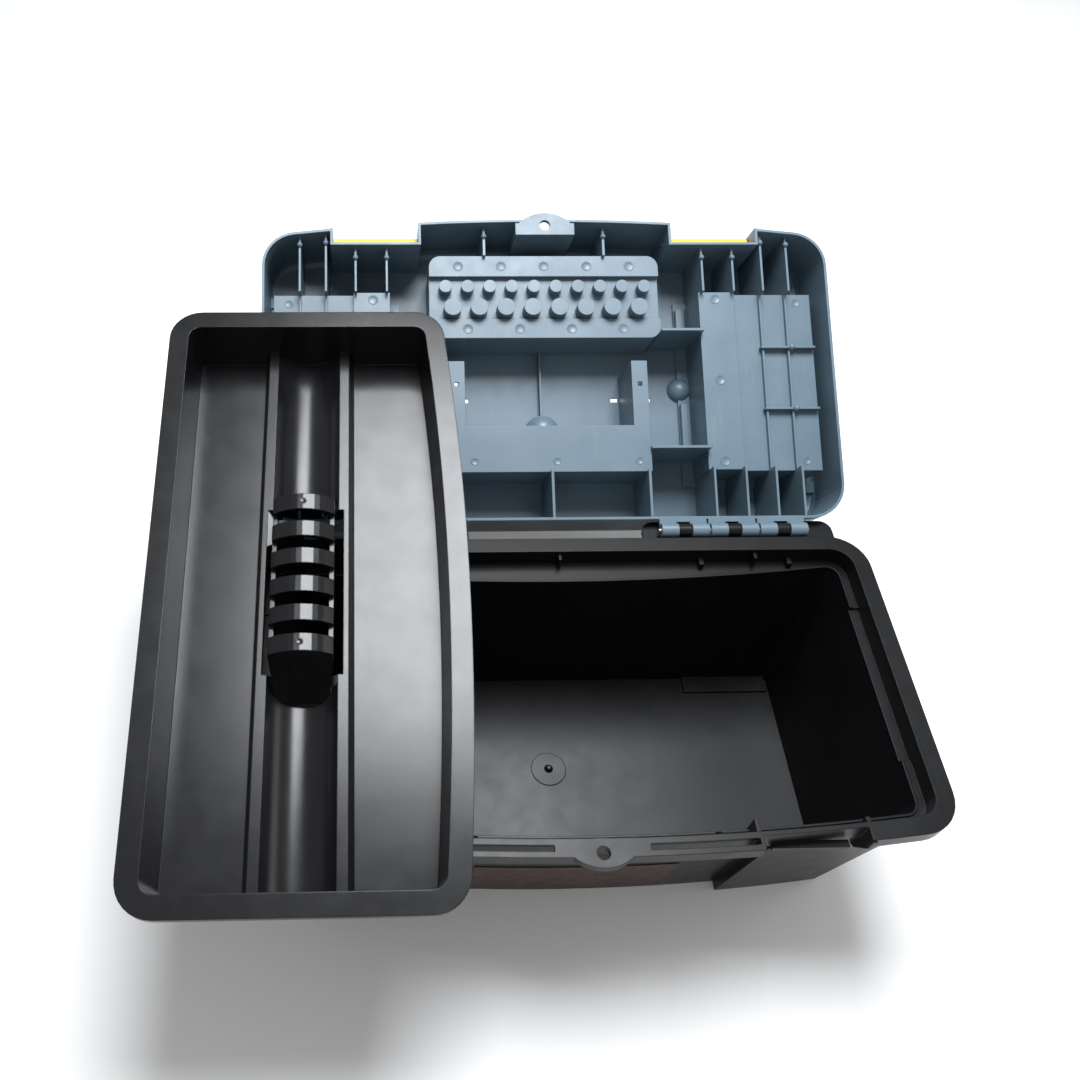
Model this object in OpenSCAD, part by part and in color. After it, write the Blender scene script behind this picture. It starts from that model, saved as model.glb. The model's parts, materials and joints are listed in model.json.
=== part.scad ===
// Plastic toolbox: tub, hinged lid with two organisers and a bit holder, carrying handle,
// two latches, and a lift-out tray that lies across the open tub.
// The frame stands on Z = 0 under the tub, +X to the right, +Y to the hinges.

/* [Tub] */
// Length over the rim
rim_length = 400; // [380:1:420]
// Depth over the rim, without the bow of the front
rim_depth = 202; // [196:1:210]
// How far the middle of the front bows out
rim_bow = 9.5; // [6:0.5:12]
// Corner radius of the rim
rim_corner = 24; // [18:1:30]
// Height of the rim above the floor
tub_height = 137; // [125:1:150]
// Width of the flat band round the rim
rim_band = 10.5; // [9:0.5:12]
// Depth of the collar that the tray drops into
collar_drop = 13; // [11:1:18]
// Inset of the tub's inside at its floor
floor_inset = 31; // [27:1:34]
// Wall thickness of the tub
tub_wall = 2.8; // [2.2:0.1:3.2]

/* [Lid] */
// Length over the lid's skirt
lid_length = 391; // [385:1:395]
// Depth of the lid, without the bow of the front
lid_depth = 203; // [200:1:204]
// Height of the skirt
skirt_height = 49; // [46:1:54]
// Angle that the lid is swung back from closed
lid_open = 152.5; // [140:0.5:152.5]
// Wall thickness of the lid
lid_wall = 1.8; // [1.6:0.1:2.4]

/* [Tray] */
// Length of the tray
tray_length = 372; // [360:1:374]
// Width of the tray, without its bow
tray_width = 175; // [168:1:176]
// Depth of the tray below its rim
tray_drop = 38; // [34:1:40]
// How far the middle of the tray's long front side bows out
tray_bow = 7.5; // [5:0.5:9]
// Width of the tray's flange
tray_flange = 12; // [10:0.5:13]
// Tilt of the tray as it lies across the tub
tray_tilt = 8.8; // [8:0.1:10]

/* [Fittings] */
// Radius of the padlock holes
padlock_r = 3.7; // [3:0.1:4.5]
// Radius of the hinge and latch pins
pin_r = 1.5; // [1.2:0.1:1.8]
// Radial play of a pin or stub in its bore
pin_play = 0.06; // [0.03:0.01:0.1]
// Angle between a shut latch and one swung right back
latch_swing = 165; // [150:1:170]
// Angle of the handle out of its well, where it hangs
handle_hang = 61; // [55:1:75]

/* [Hidden] */

$fn = 64;
slice = 0.2;
gap = 0.4;
lap = 1;

tub_black = [0.05, 0.05, 0.055];
lid_blue = [0.36, 0.45, 0.52];
fitting_yellow = [0.9, 0.7, 0.08];
pin_steel = [0.7, 0.7, 0.72];

// Levels of the tub
ledge_z = tub_height - collar_drop;
floor_t = 3;
rim_skirt = 10;
ledge_inset = rim_band + 6;
back_foot_y = rim_depth / 2 - 4;

// Hinge line
hinge_y = rim_depth / 2 + 7;
hinge_z = tub_height - 1.5;
hinge_inner_x = 69;
knuckle_pitch = 32.7;
knuckle_w = 31.5;
window_w = 9;
knuckle_r = 4.6;
shelf_z = hinge_z - knuckle_r - gap;

// Lid, drawn shut
lid_y = -1.5;
lid_low = tub_height + 0.5;
lid_top = lid_low + skirt_height;
panel_z = lid_top - lid_wall;
lid_corner = 24;
lid_bow = 9.5;
lid_round = 5;
sunk_wall = 1.5;
lid_front = lid_y - lid_depth / 2;
lid_back = lid_y + lid_depth / 2;
well_z = lid_low + 10.5;
tab_back = lid_front + 0.5;

// Latch recess and latch
latch_x = 117.5;
recess_w = 59;
recess_y = -95.5;
latch_w = recess_w - 1;
latch_pin_y = -101.8;
latch_pin_z = lid_low + 17.5;

// Organisers
well_in = 108;
well_out = 187;
well_front = -63;
well_back = 64;
well_split = 132;
seat_in = 101.5;
finger_x = 101.5;
finger_y = -3;
seat_out = 190.7;
cover_axis_x = 188;
cover_axis_z = lid_top - 1.6;
stub_r = 1.2;
dividers = [-23, 21];
long_ribs = [110, 131.5, 152, 170];

// Bit block
block_x = 80.5;
block_front = -90;
block_back = -30;
band_front = -75;
band_back = -44;
small_row_y = -66.5;
large_row_y = -50.5;
small_pitch = 15.4;
large_pitch = 18.5;

// Handle
pivot_y = 4;
pivot_z = lid_top - 10.5;
arm_mid = 63;
arm_w = 7.2;
grip_front = 36.5;
grip_back = 62.5;
grip_well_front = 33.3;
grip_well_back = 65.5;
trunnion_r = 3.95;

// Tray at rest
tray_x = -162;
tray_y = 35;
tray_z = tub_height + 61.3;
ridge_in = 20;
ridge_top = 26;
ridge_foot = 29;
ridge_z = -25;
tray_floor_z = 2 - tray_drop;
band_pitch = 17.5;
grip_half = 49;

function arc(cx, cy, r, a0, a1, n = 8) =
    [for (i = [0:n]) [cx + r * cos(a0 + (a1 - a0) * i / n), cy + r * sin(a0 + (a1 - a0) * i / n)]];

// Rounded oblong whose front bows out by bow, and whose back bows in by dip
function bowed(length, depth, bow, corner, inset, dip = 0) =
    let (hx = length / 2 - inset, hy = depth / 2 - inset, r = max(corner - inset, 5),
         lean = atan(2 * bow / (hx - r)), x1 = hx - r + r * sin(lean), y1 = hy - r + r * cos(lean))
    concat(arc(hx - r, hy - r, r, 0, 90),
           dip > 0 ? [for (i = [1:11]) [(hx - r) * (1 - i / 6), hy - dip * (1 - pow(1 - i / 6, 2))]] : [],
           arc(r - hx, hy - r, r, 90, 180),
           arc(r - hx, r - hy, r, 180, 270 - lean),
           [for (i = [1:15]) [x1 * (i / 8 - 1), -y1 - bow * (1 - pow(i / 8 - 1, 2))]],
           arc(hx - r, r - hy, r, 270 + lean, 360));

// Y of a bowed front at x
function front_at(length, depth, bow, x) = -depth / 2 - bow * (1 - pow(2 * x / length, 2));

module tub_outline(inset, dip = 0) {
    polygon(bowed(rim_length, rim_depth, rim_bow, rim_corner, inset, dip));
}

module lid_outline(inset) {
    translate([0, lid_y]) polygon(bowed(lid_length, lid_depth, lid_bow, lid_corner, inset));
}

module tray_outline(inset) {
    polygon(bowed(tray_length, tray_width, tray_bow, 20, inset));
}

module box(low, high) {
    translate(low) cube(high - low);
}

module both_sides() {
    children();
    mirror([1, 0, 0]) children();
}

// Cylinder along X from x0 to x1
module rod_x(x0, x1, y, z, r) {
    translate([x0, y, z]) rotate([0, 90, 0]) cylinder(r = r, h = x1 - x0);
}

// Cylinder along Y from y0 to y1
module rod_y(y0, y1, x, z, r) {
    translate([x, y0, z]) rotate([-90, 0, 0]) cylinder(r = r, h = y1 - y0);
}

// Outline in Y and Z, drawn out along X from x0 to x1
module side_plate(x0, x1, points) {
    translate([x0, 0, 0]) rotate([90, 0, 90]) linear_extrude(x1 - x0) polygon(points);
}

// Pointed oval between two arcs
module eye(half_w, half_d) {
    r = (half_w * half_w + half_d * half_d) / (2 * half_d);
    intersection() {
        translate([0, r - half_d]) circle(r, $fn = 128);
        translate([0, half_d - r]) circle(r, $fn = 128);
    }
}

// ---------------------------------------------------------------- tub

module tub_taper(z_low, inset_low, z_high, inset_high) {
    hull() {
        translate([0, 0, z_low]) linear_extrude(slice) tub_outline(inset_low);
        translate([0, 0, z_high - slice]) linear_extrude(slice) tub_outline(inset_high);
    }
}

module tub_rim() {
    difference() {
        translate([0, 0, tub_height - rim_skirt]) linear_extrude(rim_skirt) tub_outline(0);
        translate([0, 0, tub_height - rim_skirt - lap])
            linear_extrude(rim_skirt + lap - tub_wall) tub_outline(2.4);
    }
    translate([0, 0, ledge_z - tub_wall]) linear_extrude(tub_height - ledge_z + tub_wall)
        tub_outline(rim_band - tub_wall);
}

// Back feet: pairs of upright ribs with a pad between them
module back_feet() {
    for (x = [92, 150])
        side_plate(x, x + 3, [[71, 0], [back_foot_y, 0], [back_foot_y + 2, 6],
                              [back_foot_y + 2, tub_height - 8], [85, tub_height - 8]]);
    box([92, 71, 0], [153, back_foot_y, 3]);
}

// Proud blocks at the two front corners, down to the feet
module corner_blocks() {
    intersection() {
        translate([0, -6, 0]) tub_taper(0, floor_inset - tub_wall, ledge_z - 2, rim_band + 4);
        both_sides() box([100, -130, -lap], [200, -40, 130]);
    }
}

module hinge_shelf() {
    shelf_back = hinge_y + 10.9;
    translate([0, 0, shelf_z - 3]) linear_extrude(3)
        polygon(concat([[58, hinge_y - 9]], arc(66, shelf_back - 8, 8, 180, 90),
                       arc(178, shelf_back - 8, 8, 90, 0), [[186, hinge_y - 9]]));
    for (x = [60, 121, 182])
        side_plate(x, x + 2.4, [[hinge_y - 9, shelf_z - 2], [hinge_y - 9, shelf_z - 14],
                                [shelf_back - 2, shelf_z - 2]]);
    for (i = [0:2]) {
        x = hinge_inner_x + knuckle_pitch * i + (knuckle_w - window_w) / 2 + gap;
        rod_x(x, x + window_w - 2 * gap, hinge_y, hinge_z, knuckle_r - 0.3);
        box([x, hinge_y - 4, shelf_z - lap], [x + window_w - 2 * gap, hinge_y + 4, hinge_z]);
    }
}

// Plates that close the rim at each end of a latch bay
module bay_gussets() {
    for (x = [latch_x - recess_w / 2 - 2.6, latch_x + recess_w / 2 + 0.2]) {
        front = front_at(rim_length, rim_depth, rim_bow, x) + 0.6;
        side_plate(x, x + 2.4, [[-90, tub_height - lap], [front, tub_height - lap],
                                [front, tub_height - rim_skirt], [front + 7, ledge_z - 13],
                                [front + 10, ledge_z - 15], [-90, ledge_z - 15]]);
    }
}

module base_tub() {
    bay_left = latch_x - recess_w / 2;
    bay_right = latch_x + recess_w / 2;
    bay_wall = front_at(rim_length, rim_depth, rim_bow, latch_x) + rim_band - tub_wall;
    color(tub_black) difference() {
        union() {
            difference() {
                union() {
                    tub_taper(0, floor_inset - tub_wall, ledge_z - 1, rim_band + 4);
                    corner_blocks();
                    tub_rim();
                }
                tub_taper(floor_t, floor_inset, ledge_z, ledge_inset);
                translate([0, 0, ledge_z]) linear_extrude(collar_drop + lap) tub_outline(rim_band);
                // latch bays in the rim
                both_sides() difference() {
                    box([bay_left, -130, ledge_z - 6], [bay_right, -80, tub_height + lap]);
                    translate([0, 0, ledge_z - 8]) linear_extrude(40)
                        tub_outline(rim_band - tub_wall);
                }
            }
            // ledge that carries the tray
            translate([0, 0, ledge_z - tub_wall]) linear_extrude(tub_wall) difference() {
                tub_outline(rim_band - lap);
                tub_outline(ledge_inset, rim_bow);
            }
            // bead along the ledge's inner edge
            translate([0, 0, ledge_z - lap]) linear_extrude(lap + 1.2) difference() {
                tub_outline(ledge_inset - 1.4, rim_bow);
                tub_outline(ledge_inset, rim_bow);
            }
            both_sides() {
                hinge_shelf();
                back_feet();
                bay_gussets();
                // bead that the latch hooks under
                box([bay_left + 8, bay_wall - 3.3, ledge_z - tub_wall],
                    [bay_right - 8, bay_wall + lap, ledge_z + 1]);
                // hooks on the front ledge
                side_plate(66, 68.4, [[-101, ledge_z - lap], [-93, ledge_z - lap],
                                      [-94, ledge_z + 4], [-97, ledge_z + 9], [-101, ledge_z + 9]]);
                // raised pads at the back of the floor
                box([106, 58, floor_t - lap], [167, 75, floor_t + 2]);
                // stiffeners at the back of the collar
                box([127, 86, ledge_z - lap], [128.8, 92, tub_height - 3]);
            }
            box([-0.9, 86, ledge_z - lap], [0.9, 92, tub_height - 3]);
            // gate mark in the middle of the floor
            translate([0, 0, floor_t - lap]) cylinder(r = 12, h = lap + 0.7);
            translate([0, 0, floor_t]) cylinder(r1 = 3.5, r2 = 1.2, h = 3.2, $fn = 32);
            // eye for a padlock
            translate([0, lid_front - 5, tub_height - 5]) linear_extrude(5) eye(18.5, 8.3);
        }
        // lowered stretch of the ledge at each end
        both_sides() box([rim_length / 2 - 22, -52, ledge_z - 1.6],
                         [rim_length / 2 - rim_band, 53, ledge_z + 2]);
        // slots behind the front lip
        both_sides() translate([0, 0, tub_height - 6]) linear_extrude(8) intersection() {
            difference() {
                tub_outline(3.4);
                tub_outline(6.8);
            }
            translate([26, -130]) square([60, 60]);
        }
        translate([0, lid_front - 5, tub_height - 8]) cylinder(r = padlock_r, h = 12);
        // room for the shackle below the eye
        translate([0, lid_front - 5, tub_height - 12]) cylinder(r = padlock_r + 1.3, h = 7);
        both_sides() rod_x(50, 200, hinge_y, hinge_z, pin_r);
    }
}

// Blank label on the front wall
module front_label() {
    lean = atan((floor_inset - tub_wall - rim_band - 4) / (ledge_z - 1));
    color([0.42, 0.1, 0.07]) intersection() {
        difference() {
            translate([0, -0.5, 0]) tub_taper(0, floor_inset - tub_wall, ledge_z - 1, rim_band + 4);
            tub_taper(0, floor_inset - tub_wall, ledge_z - 1, rim_band + 4);
        }
        translate([-62, -130, 14]) rotate([-lean, 0, 0]) cube([124, 60, 52]);
    }
}

module hinge_pin() {
    color(pin_steel) rod_x(hinge_inner_x - 1.5, hinge_inner_x + 2 * knuckle_pitch + knuckle_w + 1.5,
                           hinge_y, hinge_z, pin_r);
}

module hinge_pin_left() mirror([1, 0, 0]) hinge_pin();

module hinge_pin_right() hinge_pin();

// ---------------------------------------------------------------- lid

// Swings what is drawn shut back to the open lid
module open_lid() {
    translate([0, hinge_y, hinge_z]) rotate([-lid_open, 0, 0])
        translate([0, -hinge_y, -hinge_z]) children();
}

module lid_dome(inset, low, top) {
    hull() {
        translate([0, 0, low]) linear_extrude(top - lid_round - low) lid_outline(inset);
        translate([0, 0, top - 0.3 * lid_round]) linear_extrude(slice)
            lid_outline(inset + 0.3 * lid_round);
        translate([0, 0, top - slice]) linear_extrude(slice) lid_outline(inset + lid_round);
    }
}

module rounded_block(low, high, r) {
    translate([(low[0] + high[0]) / 2, (low[1] + high[1]) / 2, low[2]])
        linear_extrude(high[2] - low[2])
            polygon(bowed(high[0] - low[0], high[1] - low[1], 0, r, 0));
}

// Outer walls of everything that is sunk into the lid, on the right
module lid_sunk_walls() {
    top = panel_z + lap;
    // seat of the organiser's cover, and its wells
    box([seat_in - sunk_wall, -68, panel_z - 2.2], [lid_length / 2 - lap, 69, top]);
    box([well_in, well_front, well_z], [well_split + 1, well_back, top]);
    box([well_split - 1, well_front, well_z + 5], [well_out + sunk_wall, well_back, top]);
    // bearings of the cover's stubs
    for (y = [-73, 66])
        box([cover_axis_x - 4, y, cover_axis_z - 4], [lid_length / 2 - lap, y + 8, top]);
    // handle arm's well and pivot housing
    box([arm_mid - 4 - sunk_wall, -11 - sunk_wall, well_z - 1 - sunk_wall],
        [arm_mid + 4 + sunk_wall, grip_well_front + lap, top]);
    box([arm_mid + 5, pivot_y - 8, pivot_z - 8], [arm_mid + 11, pivot_y + 8, top]);
    // latch recess
    recess_left = latch_x - recess_w / 2;
    recess_right = latch_x + recess_w / 2;
    box([recess_left - lid_wall, recess_y, lid_low], [recess_right + lid_wall, recess_y + lid_wall, top]);
    for (x = [recess_left - lid_wall, recess_right])
        box([x, front_at(lid_length, lid_depth, lid_bow, x) + lid_y + 1.2, lid_low],
            [x + lid_wall, recess_y + lap, top]);
}

// Keeps what hangs under the lid's top panel
module below_panel() {
    intersection() {
        children();
        box([-lid_length / 2, -lid_depth, lid_low], [lid_length / 2, lid_depth, panel_z + lap]);
    }
}

module lid_walls() {
    difference() {
        lid_dome(0, lid_low, lid_top);
        lid_dome(lid_wall, lid_low - lap, panel_z);
    }
    below_panel() {
        // finger hollows beside the covers
        both_sides() translate([finger_x, finger_y, lid_top]) sphere(r = 7.5 + sunk_wall);
        translate([0, grip_well_front - 4, panel_z - 4]) sphere(r = 11 + sunk_wall);
    }
    both_sides() lid_sunk_walls();
    rounded_block([-block_x, block_front, well_z], [block_x, block_back, panel_z + lap], 8);
    box([-arm_mid - 4 - sunk_wall, grip_well_front, well_z - 1 - sunk_wall],
        [arm_mid + 4 + sunk_wall, grip_well_back, panel_z + lap]);
    // thumb hollow in front of the grip
    box([-arm_mid + 5, grip_well_front - 8, panel_z - 9], [arm_mid - 5, grip_well_front + lap, panel_z + lap]);
    // padlock recess
    box([-20.5, tab_back - 7, lid_low], [20.5, tab_back + sunk_wall, lid_low + 36]);
}

module lid_ribs() {
    rib = 1.5;
    rib_z = lid_low + 5;
    both_sides() {
        for (x = long_ribs) {
            front = x < 150 ? recess_y + lap : front_at(lid_length, lid_depth, lid_bow, x) + lid_y + 1.5;
            box([x - rib / 2, front, rib_z], [x + rib / 2, well_front + lap, panel_z + lap]);
            box([x - rib / 2, well_back - lap, rib_z], [x + rib / 2, lid_back - 1.2, panel_z + lap]);
            translate([x, front + 8, rib_z]) sphere(r = 1.9, $fn = 24);
        }
        for (x = [long_ribs[2], long_ribs[3]])
            box([x - rib / 2, well_front, well_z + 2], [x + rib / 2, well_back, well_z + 6]);
        for (y = dividers) {
            box([well_split + 18, y - rib / 2, well_z], [well_out + 1, y + rib / 2, well_z + 6]);
            translate([(well_split + well_out) / 2 + 12, y, well_z + 0.5]) sphere(r = 2.2, $fn = 24);
        }
        // shelves between the middle and the organisers
        box([block_x - lap, block_back - 4.9, rib_z], [well_in + lap, block_back - 3.1, panel_z + lap]);
        box([arm_mid + 5, 48.6, rib_z - 1], [well_in + lap, 50.4, panel_z + lap]);
        box([arm_mid + 2, grip_well_back - lap, rib_z], [arm_mid + 3.8, lid_back - 1.2, panel_z + lap]);
        // bars beside the organiser
        for (y = [[-62, block_back - 5], [9, 47]])
            box([seat_in - 1, y[0], panel_z - 7], [seat_in + 3.5, y[1], panel_z + lap]);
        // short ribs in front of the bit block
        box([41, lid_front - 6.5, rib_z + 2], [42.8, block_front + lap, panel_z + lap]);
        translate([41.9, lid_front, rib_z + 2]) sphere(r = 1.9, $fn = 24);
    }
    box([-0.9, grip_well_back - lap, rib_z], [0.9, lid_back - 1.2, panel_z + lap]);
    box([-0.8, block_back - lap, panel_z - 6], [0.8, grip_well_front - 6, panel_z + lap]);
}

module lid_knuckles() {
    both_sides() for (i = [0:2]) {
        x = hinge_inner_x + knuckle_pitch * i;
        difference() {
            union() {
                rod_x(x, x + knuckle_w, hinge_y, hinge_z, knuckle_r);
                box([x, lid_back - 1.5, lid_low], [x + knuckle_w, hinge_y, hinge_z + knuckle_r]);
            }
            box([x + (knuckle_w - window_w) / 2, hinge_y - 6, hinge_z - 10],
                [x + (knuckle_w + window_w) / 2, hinge_y + 6, hinge_z + 10]);
        }
    }
}

// Hollows that are open at the lid's outside, on the right
module lid_hollows() {
    top = lid_top + lap;
    arm_in = arm_mid - 4;
    arm_out = arm_mid + 4;
    box([seat_in, -66, lid_top - 2.3], [seat_out, 67, top]);
    rod_y(-66, 67, cover_axis_x, cover_axis_z, 2);
    box([well_in + sunk_wall, well_front + sunk_wall, well_z + sunk_wall],
        [well_split - sunk_wall / 2, well_back - sunk_wall, top]);
    edges = concat([well_front + sunk_wall / 2], dividers, [well_back - sunk_wall / 2]);
    for (i = [0:2])
        box([well_split + sunk_wall / 2, edges[i] + sunk_wall / 2, well_z + 5 + sunk_wall],
            [well_out, edges[i + 1] - sunk_wall / 2, top]);
    box([arm_in, -11, well_z - 1], [arm_out, grip_well_front + 4, top]);
    box([latch_x - recess_w / 2, -140, lid_low - lap], [latch_x + recess_w / 2, recess_y, top]);
    // slots beside the handle's pivot, and the hole under it
    box([arm_out + 7.5, 2.5, panel_z - 3], [arm_out + 13.5, 5.5, top]);
    box([arm_in - 7.5, 2.5, panel_z - 3], [arm_in - 2.5, 5.5, top]);
    box([arm_mid - 1.5, 2.5, well_z - 4], [arm_mid + 1.5, 5.5, well_z]);
    // finger hollow beside the cover
    translate([finger_x, finger_y, lid_top]) sphere(r = 7.5);
}

module lid_middle_hollows() {
    top = lid_top + lap;
    bit_x = block_x - 1.8;
    rounded_block([-bit_x, block_front + 1.8, well_z + 6.2], [bit_x, block_back - 1.8, top], 6);
    box([-bit_x, block_front + 8, well_z + 2], [bit_x, band_front - 2, well_z + 10]);
    box([-bit_x, band_back + 2, well_z + 2], [bit_x, block_back - 5, well_z + 10]);
    // stepped underside where the bits stand
    box([-block_x - lap, band_front, well_z - lap], [block_x + lap, band_back, well_z + 4]);
    box([-arm_mid - 4, grip_well_front + sunk_wall, well_z - 1],
        [arm_mid + 4, grip_well_back - sunk_wall, top]);
    box([-arm_mid + 7, grip_well_front - 6, panel_z - 7], [arm_mid - 7, grip_well_front + 3, top]);
    translate([0, grip_well_front - 4, panel_z - 4]) sphere(r = 11);
    padlock_recess();
}

// Arched recess over the padlock tab, open at the front
module padlock_recess() {
    half = 20.5 - sunk_wall;
    translate([0, tab_back, 0]) rotate([90, 0, 0]) linear_extrude(20)
        polygon(concat([[-half, lid_low + 3.5], [half, lid_low + 3.5]],
                       arc(0, lid_low + 36 - sunk_wall - half, half, 0, 180, 16)));
}

module bit_bosses() {
    for (i = [0:9]) translate([(i - 4.5) * small_pitch, small_row_y, well_z - 3.5])
        cylinder(r = 4.5, h = 9);
    for (i = [0:7]) translate([(i - 3.5) * large_pitch, large_row_y, well_z - 6])
        cylinder(r = 6.1, h = 11.5);
}

module bit_holes() {
    for (i = [0:9]) translate([(i - 4.5) * small_pitch, small_row_y, well_z - 2])
        cylinder(r = 3.3, h = 20);
    for (i = [0:7]) translate([(i - 3.5) * large_pitch, large_row_y, well_z - 4])
        cylinder(r = 4.9, h = 24);
}

module lid_shell() {
    color(lid_blue) open_lid() difference() {
        union() {
            difference() {
                union() {
                    lid_walls();
                    lid_ribs();
                }
                both_sides() lid_hollows();
                lid_middle_hollows();
            }
            bit_bosses();
            lid_knuckles();
            // tab for a padlock, under the recess
            translate([0, lid_front - 5, lid_low]) linear_extrude(3.5) intersection() {
                eye(19.5, 9);
                translate([-20, -12]) square([40, tab_back - lid_front + 17]);
            }
        }
        bit_holes();
        translate([0, lid_front - 5, lid_low - lap]) cylinder(r = padlock_r, h = 8);
        both_sides() {
            rod_x(60, 190, hinge_y, hinge_z, pin_r + pin_play);
            rod_x(latch_x - recess_w / 2 - 5, latch_x + recess_w / 2 + 5, latch_pin_y, latch_pin_z, pin_r);
            rod_x(arm_mid + 2, arm_mid + 9, pivot_y, pivot_z, trunnion_r + pin_play);
            rod_y(-70, 71, cover_axis_x, cover_axis_z, stub_r + pin_play);
        }
    }
}

// ---------------------------------------------------------------- latches

module latch_pin() {
    color(pin_steel) open_lid()
        rod_x(latch_x - recess_w / 2 - 2.2, latch_x + recess_w / 2 + 2.2, latch_pin_y, latch_pin_z, pin_r);
}

module latch_pin_left() mirror([1, 0, 0]) latch_pin();

module latch_pin_right() latch_pin();

module latch() {
    left = latch_x - latch_w / 2;
    right = latch_x + latch_w / 2;
    latch_in = latch_pin_y - 3.1;
    claw_z = ledge_z - tub_wall - 1.5;
    color(fitting_yellow) open_lid()
        translate([0, latch_pin_y, latch_pin_z]) rotate([-latch_swing, 0, 0])
        translate([0, -latch_pin_y, -latch_pin_z]) difference() {
            union() {
                side_plate(left, right, concat(
                    [[latch_in, claw_z - 6], [-107.2, claw_z - 8], [-109.4, claw_z - 8], [-107.4, claw_z],
                     [-107.4, latch_pin_z]],
                    arc(latch_pin_y - 1.8, latch_pin_z, 3.8, 180, 90, 5),
                    [[latch_pin_y, latch_pin_z + 3.8], [latch_pin_y, latch_pin_z - 3.8],
                     [latch_in, latch_pin_z - 7]]));
                rod_x(left, right, latch_pin_y, latch_pin_z, 3.8);
                // claw that hooks under the tub's bead
                side_plate(left + 10, right - 10, [[-105, claw_z], [-99.8, claw_z], [-99.8, claw_z - 1.4],
                                                   [-105, claw_z - 4.5]]);
                // ribs across the face
                for (z = [claw_z + 8:5:claw_z + 23])
                    rod_x(left + 8, right - 8, -107.3, z, 0.9);
            }
            rod_x(left - lap, right + lap, latch_pin_y, latch_pin_z, pin_r + pin_play);
        }
}

module latch_left() mirror([1, 0, 0]) latch();

module latch_right() latch();

// ---------------------------------------------------------------- handle

module carry_handle() {
    low = pivot_z - 12;
    high = lid_top - 1;
    color(fitting_yellow) open_lid()
        translate([0, pivot_y, pivot_z]) rotate([handle_hang, 0, 0])
        translate([0, -pivot_y, -pivot_z]) difference() {
            union() {
                both_sides() {
                    side_plate(arm_mid - arm_w / 2, arm_mid + arm_w / 2, concat(
                        arc(pivot_y, pivot_z, 8, 90, 270, 12),
                        [[grip_back - 4, low], [grip_back, low + 5], [grip_back, high - 4],
                         [grip_back - 4, high], [grip_front - 6, high]]));
                    rod_x(arm_mid + arm_w / 2 - lap, arm_mid + 8.6, pivot_y, pivot_z, trunnion_r);
                }
                side_plate(-arm_mid - arm_w / 2 + 0.01, arm_mid + arm_w / 2 - 0.01, concat(
                    arc(grip_front + 5, high - 5, 5, 180, 90, 5), arc(grip_back - 5, high - 5, 5, 90, 0, 5),
                    arc(grip_back - 7, low + 7, 7, 0, -90, 5), arc(grip_front + 7, low + 7, 7, 270, 180, 5)));
            }
            // hollow underside of the grip
            box([-52, grip_front + 3, low - lap], [52, grip_back - 3, high - 5]);
        }
}

// ---------------------------------------------------------------- organiser covers

module organiser_cover() {
    color([0.62, 0.68, 0.72]) open_lid() union() {
        box([seat_in + 0.5, -65.5, lid_top - 2], [cover_axis_x - 1.4, 66.5, lid_top]);
        rod_y(-65.5, 66.5, cover_axis_x, cover_axis_z, 1.6);
        rod_y(-69.6, 70.6, cover_axis_x, cover_axis_z, stub_r);
        box([cover_axis_x - 1.6, -65.5, lid_top - 2], [cover_axis_x, 66.5, lid_top]);
        // raised frame on the cover's underside, inside the well
        for (y = [well_front + 2.6, well_back - 4.2])
            box([well_in + 2.6, y, lid_top - 5], [well_split - 1.6, y + 1.6, lid_top - lap]);
    }
}

module organiser_cover_left() mirror([1, 0, 0]) organiser_cover();

module organiser_cover_right() organiser_cover();

// ---------------------------------------------------------------- tray

module tray_taper(z_low, inset_low, z_high, inset_high) {
    hull() {
        translate([0, 0, z_low]) linear_extrude(slice) tray_outline(inset_low);
        translate([0, 0, z_high - slice]) linear_extrude(slice) tray_outline(inset_high);
    }
}

// Cross-section of the grip's arch: z_side is where its sides end
module arch_section(half_w, rise, top, z_side) {
    r = (half_w * half_w + rise * rise) / (2 * rise);
    spread = asin(half_w / r);
    polygon(concat(arc(0, top - r, r, 90 - spread, 90 + spread, 12), [[-half_w, z_side], [half_w, z_side]]));
}

module arch_bar(x0, x1, half_w, rise, top, z_side) {
    translate([x0, 0, 0]) rotate([90, 0, 90]) linear_extrude(x1 - x0)
        arch_section(half_w, rise, top, z_side);
}

// Sloping end of the grip, from its arch down to the trough
module grip_ramp(shrink) {
    hull() {
        translate([-shrink, 0, -shrink]) arch_bar(grip_half - 3, grip_half, 18 - shrink, 7, 2, -15);
        translate([-shrink, 0, -shrink]) arch_bar(grip_half + 17, grip_half + 18, 15 - shrink, 4,
                                                  tray_floor_z + 6, tray_floor_z - 1);
    }
}

module tray_grip() {
    difference() {
        arch_bar(-grip_half, grip_half, 18, 7, 2, -15);
        arch_bar(-grip_half - lap, grip_half + lap, 15.2, 6, -1, -20);
        for (i = [0:4])
            box([(i - 2) * band_pitch - 3.9, -20, -8], [(i - 2) * band_pitch + 3.9, 20, 10]);
    }
    difference() {
        union() for (side = [0, 1]) mirror([side, 0, 0]) grip_ramp(0);
        for (side = [0, 1]) mirror([side, 0, 0]) grip_ramp(2.6);
        box([-grip_half + 4, -16, -40], [grip_half - 4, 16, -2]);
    }
}

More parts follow.
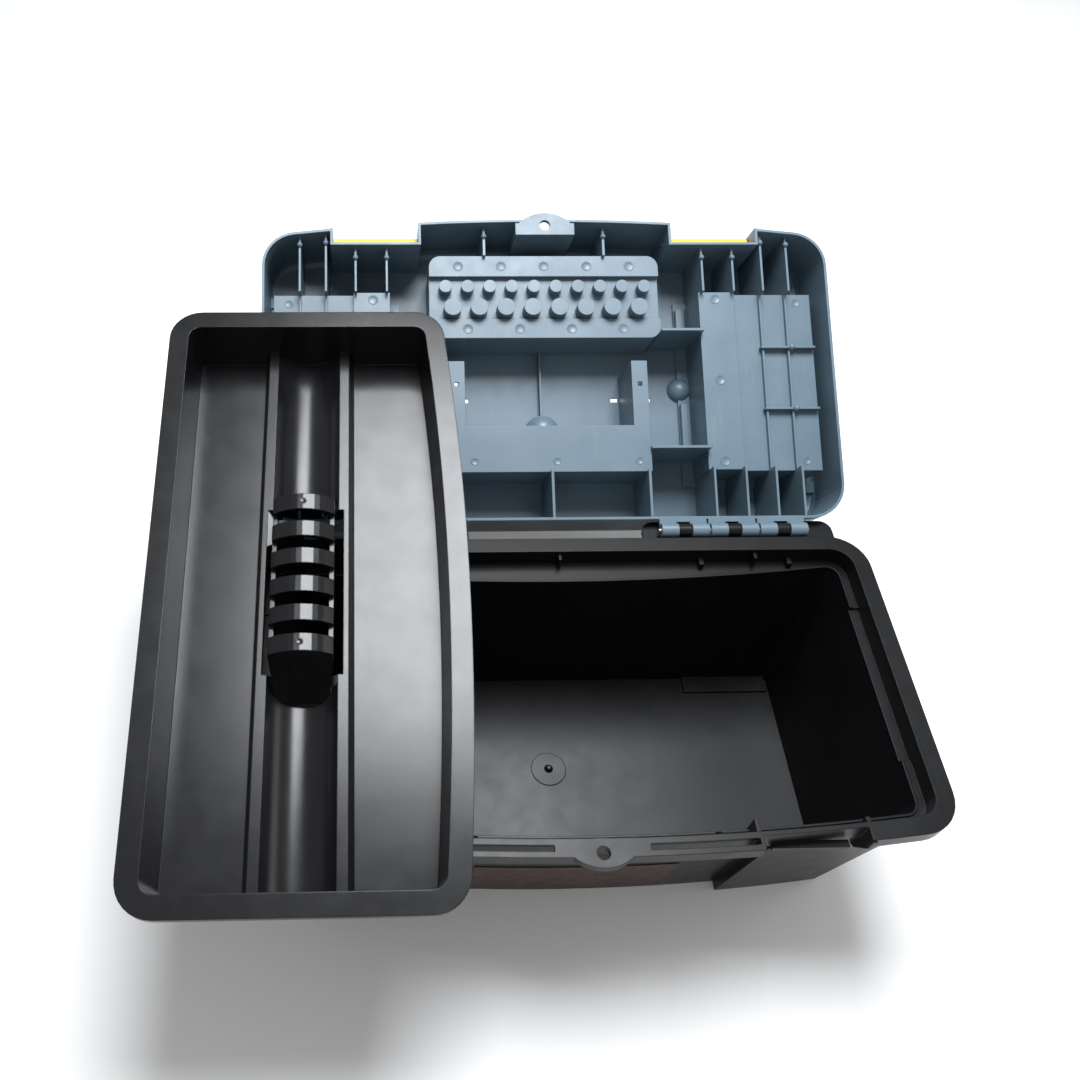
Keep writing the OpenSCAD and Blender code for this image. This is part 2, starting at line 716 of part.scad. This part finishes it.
module tray() {
    trough_r = (pow(ridge_in, 2) + pow(ridge_z - tray_floor_z, 2)) / (2 * (ridge_z - tray_floor_z));
    ridge_end = tray_length / 2 - tray_flange - 1.5;
    color(tub_black) translate([tray_x, tray_y, tray_z]) rotate([tray_tilt, 0, 0]) rotate([0, 0, 90]) union() {
        difference() {
            union() {
                difference() {
                    union() {
                        tray_taper(-tray_drop, tray_flange + 1, 0, tray_flange - 2);
                        difference() {
                            translate([0, 0, -5.5]) linear_extrude(5.5) tray_outline(0);
                            translate([0, 0, -7]) linear_extrude(4.8) tray_outline(2);
                        }
                    }
                    tray_taper(tray_floor_z, tray_flange + 3, slice, tray_flange);
                }
                // two ridges, with the trough between them
                difference() {
                    side_plate(-ridge_end, ridge_end, [
                        [-ridge_foot, tray_floor_z - lap], [ridge_foot, tray_floor_z - lap],
                        [ridge_foot, tray_floor_z], [ridge_top, ridge_z], [-ridge_top, ridge_z],
                        [-ridge_foot, tray_floor_z]]);
                    rod_x(-ridge_end - lap, ridge_end + lap, 0, tray_floor_z + trough_r, trough_r);
                }
            }
            // the ridges are hollow from below
            for (side = [-1, 1])
                side_plate(-ridge_end + 2, ridge_end - 2, [
                    [side * 19.5, -tray_drop - lap], [side * 26.5, -tray_drop - lap],
                    [side * 26, tray_floor_z], [side * 24.4, ridge_z - 2], [side * 22.4, ridge_z - 2]]);
            // opening under the grip
            box([-grip_half - 13, -15, -tray_drop - lap], [grip_half + 13, 15, tray_floor_z + 2]);
            box([-grip_half - 4, -23, -tray_drop - lap], [grip_half + 4, 23, ridge_z + lap]);
        }
        tray_grip();
    }
}

base_tub();
front_label();
hinge_pin_left();
hinge_pin_right();
lid_shell();
latch_pin_left();
latch_pin_right();
latch_left();
latch_right();
carry_handle();
organiser_cover_left();
organiser_cover_right();
tray();
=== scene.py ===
import json
import math
import bpy
from mathutils import Matrix, Vector


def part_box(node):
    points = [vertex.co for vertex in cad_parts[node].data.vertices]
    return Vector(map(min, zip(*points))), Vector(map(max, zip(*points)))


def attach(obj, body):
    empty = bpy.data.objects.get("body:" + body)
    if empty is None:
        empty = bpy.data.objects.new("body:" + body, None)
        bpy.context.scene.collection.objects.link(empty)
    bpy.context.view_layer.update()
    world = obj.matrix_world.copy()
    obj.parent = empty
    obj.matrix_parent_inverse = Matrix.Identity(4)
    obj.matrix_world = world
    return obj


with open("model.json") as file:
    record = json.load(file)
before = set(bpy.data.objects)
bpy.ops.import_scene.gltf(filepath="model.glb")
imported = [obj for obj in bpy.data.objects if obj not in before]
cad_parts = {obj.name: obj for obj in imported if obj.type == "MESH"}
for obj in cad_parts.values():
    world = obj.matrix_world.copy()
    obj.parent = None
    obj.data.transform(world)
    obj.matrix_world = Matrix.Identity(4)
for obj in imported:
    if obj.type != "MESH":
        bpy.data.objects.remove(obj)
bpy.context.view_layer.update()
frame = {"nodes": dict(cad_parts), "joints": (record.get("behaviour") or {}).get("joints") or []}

MM = 0.001
joints = {joint["name"]: joint for joint in frame["joints"]}


# ---------------------------------------------------------------- materials
# Noise scales are features to the metre, and bump distances are metres.

MIDDLE = (0.3, 0.7)     # the stretch of a noise's values that covers most of a surface
MIX_FACTOR, MIX_A, MIX_B, MIX_RESULT = 0, 6, 7, 2     # a colour Mix node's sockets


class Nodes:
    """A material's node tree, with short ways to add what these materials share."""

    def __init__(self, name):
        self.material = bpy.data.materials.new(name)
        self.material.use_nodes = True
        self.tree = self.material.node_tree
        self.tree.nodes.clear()
        self.out = self.add("ShaderNodeOutputMaterial")
        self.shader = self.add("ShaderNodeBsdfPrincipled")
        self.join(self.shader, "BSDF", self.out, "Surface")
        self.coords = self.add("ShaderNodeTexCoord")

    def add(self, kind, **values):
        node = self.tree.nodes.new(kind)
        for key, value in values.items():
            setattr(node, key, value)
        return node

    def join(self, a, output, b, socket):
        self.tree.links.new(a.outputs[output], b.inputs[socket])

    def noise(self, scale, detail=3.0, rough=0.5, stretch=None):
        """Noise in the object's own space, drawn out where a number in stretch is below 1."""
        texture = self.add("ShaderNodeTexNoise")
        texture.inputs["Scale"].default_value = scale
        texture.inputs["Detail"].default_value = detail
        texture.inputs["Roughness"].default_value = rough
        if stretch:
            mapping = self.add("ShaderNodeMapping")
            mapping.inputs["Scale"].default_value = stretch
            self.join(self.coords, "Object", mapping, "Vector")
            self.join(mapping, "Vector", texture, "Vector")
        else:
            self.join(self.coords, "Object", texture, "Vector")
        return texture

    def ramp(self, source, span, result=(0, 1)):
        """The source's values over span, spread over result."""
        node = self.add("ShaderNodeMapRange")
        for socket, value in zip(("From Min", "From Max", "To Min", "To Max"), (*span, *result)):
            node.inputs[socket].default_value = value
        self.join(source, 0, node, "Value")
        return node

    def blend(self, mask, a, b):
        """Colour from a to b as mask goes from 0 to 1; either may be a node."""
        node = self.add("ShaderNodeMix", data_type="RGBA")
        self.join(mask, 0, node, MIX_FACTOR)
        for socket, value in ((MIX_A, a), (MIX_B, b)):
            if isinstance(value, tuple):
                node.inputs[socket].default_value = (*value, 1)
            else:
                self.join(value, MIX_RESULT, node, socket)
        return node

    def bump(self, height, strength, distance, normal=None):
        """A bump from height, over a node that has already turned the normal."""
        node = self.add("ShaderNodeBump")
        node.inputs["Strength"].default_value = strength
        node.inputs["Distance"].default_value = distance
        self.join(height, 0, node, "Height")
        if normal:
            self.join(normal, 0, node, "Normal")
        return node

    def finish(self, colour, gloss=None, normal=None):
        """Gives the shader its colour, and its roughness and normal where there are any."""
        self.join(colour, MIX_RESULT, self.shader, "Base Color")
        if gloss:
            self.join(gloss, 0, self.shader, "Roughness")
        if normal:
            self.join(normal, 0, self.shader, "Normal")
        return self.material


def plastic(name, dark, light, scuff, rough, spread, grain, edge, specular=0.5):
    """Moulded plastic: mottled colour, faint scuffs, uneven gloss, fine grain and soft edges."""
    n = Nodes(name)
    n.shader.inputs["Specular IOR Level"].default_value = specular
    mottle = n.ramp(n.noise(scale=22, detail=4, rough=0.6), MIDDLE)
    streaks = n.noise(scale=160, detail=5, rough=0.65, stretch=(1, 0.08, 0.3))
    scuffed = n.ramp(streaks, (0.60, 0.74), (0, 0.35))
    colour = n.blend(scuffed, n.blend(mottle, dark, light), scuff)
    gloss = n.ramp(n.noise(scale=55, detail=4, rough=0.6), MIDDLE, (rough - spread, rough + spread))
    bevel = n.add("ShaderNodeBevel", samples=4)
    bevel.inputs["Radius"].default_value = edge
    wave = n.bump(n.noise(scale=14, detail=2), strength=0.015, distance=2 * MM, normal=bevel)
    pits = n.bump(n.noise(scale=1700, detail=2), strength=grain, distance=0.1 * MM, normal=wave)
    return n.finish(colour, gloss, pits)


def steel(name):
    """Drawn steel wire, brushed along X as the pins lie."""
    along = (0.1, 1, 1)
    n = Nodes(name)
    n.shader.inputs["Metallic"].default_value = 1.0
    tone = n.ramp(n.noise(scale=300), MIDDLE)
    colour = n.blend(tone, (0.42, 0.42, 0.43), (0.62, 0.62, 0.63))
    gloss = n.ramp(n.noise(scale=900, rough=0.6, stretch=along), MIDDLE, (0.22, 0.4))
    lines = n.bump(n.noise(scale=1200, detail=2, stretch=along), strength=0.2, distance=0.05 * MM)
    return n.finish(colour, gloss, lines)


def label_film(name):
    """A blank red-brown label, slightly fibrous and cockled."""
    n = Nodes(name)
    tone = n.ramp(n.noise(scale=35, detail=4, rough=0.6), MIDDLE)
    base = n.blend(tone, (0.036, 0.014, 0.010), (0.050, 0.019, 0.014))
    fibre = n.ramp(n.noise(scale=700), (0.5, 0.8), (0, 0.3))
    colour = n.blend(fibre, base, (0.08, 0.042, 0.033))
    gloss = n.ramp(n.noise(scale=120), MIDDLE, (0.42, 0.6))
    cockle = n.bump(n.noise(scale=60, detail=2), strength=0.15, distance=0.1 * MM)
    return n.finish(colour, gloss, cockle)


def paper(name, colour):
    """The floor: matt, with a very faint change of tone."""
    n = Nodes(name)
    n.shader.inputs["Roughness"].default_value = 0.8
    tone = n.ramp(n.noise(scale=3, detail=2), MIDDLE)
    return n.finish(n.blend(tone, colour, tuple(0.98 * v for v in colour)))


BLACK = {"dark": (0.004, 0.0042, 0.005), "light": (0.007, 0.0072, 0.008),
         "scuff": (0.016, 0.016, 0.017)}
tub_black = plastic("tub_plastic", **BLACK, rough=0.36, spread=0.035, grain=0.3,
                    edge=0.8 * MM, specular=0.22)
tray_black = plastic("tray_plastic", **BLACK, rough=0.24, spread=0.025, grain=0.18,
                     edge=0.8 * MM, specular=0.36)
lid_blue = plastic("lid_plastic", dark=(0.096, 0.146, 0.187), light=(0.115, 0.170, 0.215),
                   scuff=(0.16, 0.22, 0.265), rough=0.40, spread=0.06, grain=0.25,
                   edge=0.6 * MM)
yellow = plastic("fitting_plastic", dark=(0.72, 0.44, 0.02), light=(0.82, 0.54, 0.035),
                 scuff=(0.85, 0.66, 0.25), rough=0.38, spread=0.06, grain=0.25,
                 edge=0.7 * MM)
pale = plastic("cover_plastic", dark=(0.190, 0.245, 0.285), light=(0.215, 0.272, 0.312),
               scuff=(0.235, 0.292, 0.332), rough=0.3, spread=0.05, grain=0.15,
               edge=0.5 * MM)
pin_steel = steel("pin_steel")
label = label_film("label_film")

LOOKS = {"base_tub": tub_black, "tray": tray_black, "lid_shell": lid_blue, "front_label": label,
         "latch_left": yellow, "latch_right": yellow, "carry_handle": yellow,
         "organiser_cover_left": pale, "organiser_cover_right": pale,
         "hinge_pin_left": pin_steel, "hinge_pin_right": pin_steel,
         "latch_pin_left": pin_steel, "latch_pin_right": pin_steel}
for node, look in LOOKS.items():
    mesh = frame["nodes"][node].data
    mesh.materials.clear()
    mesh.materials.append(look)


# ---------------------------------------------------------------- small moulded shapes

def piece(name, parts, body, look, place, smooth):
    """One mesh made of parts, each (verts, faces), put in place and riding on a body."""
    verts, faces = [], []
    for part_verts, part_faces in parts:
        base = len(verts)
        verts += [place @ Vector(v) for v in part_verts]
        faces += [tuple(i + base for i in face) for face in part_faces]
    mesh = bpy.data.meshes.new(name)
    mesh.from_pydata(verts, [], faces)
    mesh.validate()
    for polygon in mesh.polygons:
        polygon.use_smooth = smooth
    mesh.materials.append(look)
    obj = bpy.data.objects.new(name, mesh)
    bpy.context.scene.collection.objects.link(obj)
    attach(obj, body)


def lathe(profile, centre, up, steps=32):
    """A small turned shape: profile is (radius, height) from the middle out, and up is 1 or -1."""
    verts, faces = [], []
    cx, cy, cz = centre
    for radius, height in profile:
        for k in range(steps):
            a = 2 * math.pi * k / steps
            verts.append((cx + radius * math.cos(a), cy + radius * math.sin(a), cz + up * height))
    for ring in range(len(profile) - 1):
        for k in range(steps):
            a, b = ring * steps + k, ring * steps + (k + 1) % steps
            faces.append((a, a + steps, b + steps, b) if up < 0 else (a, b, b + steps, a + steps))
    for ring, flip in ((0, up > 0), (len(profile) - 1, up < 0)):
        cap = [ring * steps + k for k in range(steps)]
        faces.append(tuple(reversed(cap)) if flip else tuple(cap))
    return verts, faces


def ejector_mark(centre, radius, up=-1.0):
    """A shallow ring left by an ejector pin, sunk into the surface behind it; in millimetres."""
    height, face, sink = 0.22, 0.06, 0.6
    lip, crest, skirt, middle = 0.5, 0.25, 0.2, 0.1
    profile = [(middle, face), (radius - lip, face), (radius - crest, height), (radius, height),
               (radius + skirt, 0), (radius + skirt, -sink), (middle, -sink)]
    return lathe([(r * MM, z * MM) for r, z in profile], tuple(v * MM for v in centre), up)


def raised_bar(low, high, slope):
    """A moulded bar: a block whose upper edges lean in by slope; in millimetres."""
    (x0, y0, z0), (x1, y1, z1) = low, high
    verts = [(x0, y0, z0), (x1, y0, z0), (x1, y1, z0), (x0, y1, z0),
             (x0 + slope, y0 + slope, z1), (x1 - slope, y0 + slope, z1),
             (x1 - slope, y1 - slope, z1), (x0 + slope, y1 - slope, z1)]
    faces = [(0, 3, 2, 1), (4, 5, 6, 7), (0, 1, 5, 4), (1, 2, 6, 5), (2, 3, 7, 6), (3, 0, 4, 7)]
    return [tuple(v * MM for v in vert) for vert in verts], faces


def frame_bars(low, high, width, z0, z1, slope):
    """Four bars round an oblong."""
    (x0, y0), (x1, y1) = low, high
    return [raised_bar((x0, y0, z0), (x1, y0 + width, z1), slope),
            raised_bar((x0, y1 - width, z0), (x1, y1, z1), slope),
            raised_bar((x0, y0 + width, z0), (x0 + width, y1 - width, z1), slope),
            raised_bar((x1 - width, y0 + width, z0), (x1, y1 - width, z1), slope)]


def mirrored(part):
    """The part's mirror image across the middle of the box."""
    verts, faces = part
    return [(-x, y, z) for x, y, z in verts], [tuple(reversed(face)) for face in faces]


# ---------------------------------------------------------------- detail on the lid
# Drawn on the shut lid, in millimetres, and swung open about the hinge pins.

pin_low, pin_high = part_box("hinge_pin_right")
HINGE_AT = Vector((0, (pin_low[1] + pin_high[1]) / 2, (pin_low[2] + pin_high[2]) / 2))


def swing(pivot, joint):
    """The turn about X through pivot that a joint's low limit takes back."""
    angle = math.radians(min(joints[joint]["range_deg"]))
    return Matrix.Translation(pivot) @ Matrix.Rotation(angle, 4, "X") @ Matrix.Translation(-pivot)


LID = swing(HINGE_AT, "lid_hinge")
LID_LOW = HINGE_AT.z / MM + 2.0       # the lid's lower edge
LID_TOP = LID_LOW + 49
WELL_FLOOR = LID_LOW + 10.5           # inside faces of its sunk parts
STEP_FLOOR = WELL_FLOOR + 5
GRIP_FLOOR = WELL_FLOOR - 2.5

# Ejector marks: the strips in front of and behind the bit block, then the handle's well
BLOCK_FRONT_Y, BLOCK_BACK_Y, HANDLE_WELL_Y = -82.5, -36.8, 58
MARK, SMALL_MARK, STEP_MARK = 3.4, 2.6, 2.8
marks = [ejector_mark((x, BLOCK_FRONT_Y, WELL_FLOOR), MARK) for x in (-60, -30, 0, 30, 60)]
marks += [ejector_mark((x, BLOCK_BACK_Y, WELL_FLOOR), MARK) for x in (-54, -18, 18, 54)]
marks += [ejector_mark((x, HANDLE_WELL_Y, GRIP_FLOOR), SMALL_MARK) for x in (4, 60, -52)]
# and both organisers' wells, with the shallower step along their outer sides
WELL_X, STEP_X = 119.5, 178
for side in (-1, 1):
    marks += [ejector_mark((side * WELL_X, y, WELL_FLOOR), MARK) for y in (-58, 0.5, 58)]
    marks += [ejector_mark((side * STEP_X, y, STEP_FLOOR), STEP_MARK) for y in (-57, 57)]
piece("lid_ejector_marks", marks, "lid", lid_blue, LID, smooth=True)

# A frame and finger ribs on each organiser's cover
FRAME_LOW, FRAME_HIGH, FRAME_BAR = (107, -60), (181, 61), 2.2
FINGER_X, FINGER_Y, FINGER_HALF = (103.4, 106.4), (-8, -5.5, -3, -0.5, 2), 0.7
BAR_SINK, FRAME_RISE, FINGER_RISE = 0.5, 0.6, 0.5
cover_bars = frame_bars(FRAME_LOW, FRAME_HIGH, FRAME_BAR, LID_TOP - BAR_SINK,
                        LID_TOP + FRAME_RISE, slope=0.35)
cover_bars += [raised_bar((FINGER_X[0], y - FINGER_HALF, LID_TOP - BAR_SINK),
                          (FINGER_X[1], y + FINGER_HALF, LID_TOP + FINGER_RISE), slope=0.3)
               for y in FINGER_Y]
piece("cover_right_frame", cover_bars, "cover_right", pale, LID, smooth=False)
piece("cover_left_frame", [mirrored(bar) for bar in cover_bars], "cover_left", pale,
      LID, smooth=False)

# Finger ribs across the handle's grip, drawn with the handle folded into its well
HANDLE_PIVOT = Vector((0, 4.0, LID_LOW + 38.5)) * MM
HANDLE = LID @ swing(HANDLE_PIVOT, "handle_pivot").inverted()
GRIP_TOP = LID_TOP - 1.0
RIB_END, RIB_STEP, RIB_HALF, RIB_Y, RIB_RISE = 42, 7, 1.3, (40, 59), 0.7
ribs = [raised_bar((x - RIB_HALF, RIB_Y[0], GRIP_TOP - BAR_SINK),
                   (x + RIB_HALF, RIB_Y[1], GRIP_TOP + RIB_RISE), slope=0.5)
        for x in range(-RIB_END, RIB_END + 1, RIB_STEP)]
piece("handle_grip_ribs", ribs, "handle", yellow, HANDLE, smooth=False)


# ---------------------------------------------------------------- detail on the tray
# Drawn flat with the tray's length along X, then laid across the box with its back end up.

TRAY_LENGTH, TRAY_WIDTH, TRAY_TILT = 372 * MM, 175 * MM, math.radians(8.8)
tray_low, tray_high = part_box("tray")
TRAY_AT = Vector((tray_low[0] + TRAY_WIDTH / 2,
                  tray_low[1] + TRAY_LENGTH / 2 * math.cos(TRAY_TILT),
                  tray_high[2] - TRAY_LENGTH / 2 * math.sin(TRAY_TILT)))
TRAY = (Matrix.Translation(TRAY_AT) @ Matrix.Rotation(TRAY_TILT, 4, "X")
        @ Matrix.Rotation(math.radians(90), 4, "Z"))

# Dimples on the first and last band of the grip
DIMPLE, DIMPLE_X, GRIP_FACE = 1.9, 44, 1.95
dimples = [ejector_mark((x, 0, GRIP_FACE), DIMPLE, up=1.0) for x in (-DIMPLE_X, DIMPLE_X)]
piece("tray_grip_dimples", dimples, "tray", tray_black, TRAY, smooth=True)


# ---------------------------------------------------------------- floor and lights

HALF_FLOOR = 6.0
corners = [(x * HALF_FLOOR, y * HALF_FLOOR, 0) for x, y in ((-1, -1), (1, -1), (1, 1), (-1, 1))]
floor_mesh = bpy.data.meshes.new("floor")
floor_mesh.from_pydata(corners, [], [(0, 1, 2, 3)])
floor_mesh.materials.append(paper("floor_paper", (0.88, 0.88, 0.88)))
floor = bpy.data.objects.new("floor", floor_mesh)
bpy.context.scene.collection.objects.link(floor)

world = bpy.data.worlds.new("studio")
bpy.context.scene.world = world
world.use_nodes = True
background = world.node_tree.nodes["Background"]
background.inputs["Color"].default_value = (1.0, 1.0, 1.0, 1)
background.inputs["Strength"].default_value = 0.40
bpy.context.scene.view_settings.view_transform = "Standard"


def softbox(name, place, aim, size, power, colour=(1, 1, 1)):
    """An oblong lamp of power watts that faces aim."""
    lamp = bpy.data.lights.new(name, "AREA")
    lamp.shape = "RECTANGLE"
    lamp.size, lamp.size_y = size
    lamp.energy = power
    lamp.color = colour
    obj = bpy.data.objects.new(name, lamp)
    obj.location = place
    obj.rotation_euler = (Vector(aim) - Vector(place)).to_track_quat("-Z", "Y").to_euler()
    bpy.context.scene.collection.objects.link(obj)


BOX_MIDDLE = (0, 0, 0.1)
softbox("top_light", (0.06, 0.45, 1.5), (0, 0.1, 0.1), (0.66, 0.7), 35, (0.94, 0.97, 1.0))
softbox("front_fill", (-0.5, -1.6, 1.3), BOX_MIDDLE, (1.4, 0.9), 3)
softbox("right_fill", (1.6, 0.2, 1.0), BOX_MIDDLE, (1.0, 0.8), 5)


# ---------------------------------------------------------------- camera
# A view from above the front, with a shift because its frame isn't centred on the lens's axis.

SENSOR_MM, LENS_MM = 36.0, 34.71
SHIFT_X, SHIFT_Y = 0.12963, -0.00463
PITCH, YAW, ROLL = 53.093, -2.852, -1.797
CAMERA_AT = Vector((-0.1239, -0.3027, 0.6806))

lens = bpy.data.cameras.new("camera")
lens.sensor_width = SENSOR_MM
lens.lens = LENS_MM
lens.shift_x, lens.shift_y = SHIFT_X, SHIFT_Y
lens.clip_start = 0.01
camera = bpy.data.objects.new("camera", lens)
bpy.context.scene.collection.objects.link(camera)
turn = (Matrix.Rotation(math.radians(YAW), 4, "Z") @ Matrix.Rotation(math.radians(-PITCH), 4, "X")
        @ Matrix.Rotation(math.radians(ROLL), 4, "Y"))
upright = Matrix.Rotation(math.radians(90), 4, "X")     # a camera looks down until it is raised
camera.matrix_world = Matrix.Translation(CAMERA_AT) @ turn @ upright
bpy.context.scene.camera = camera
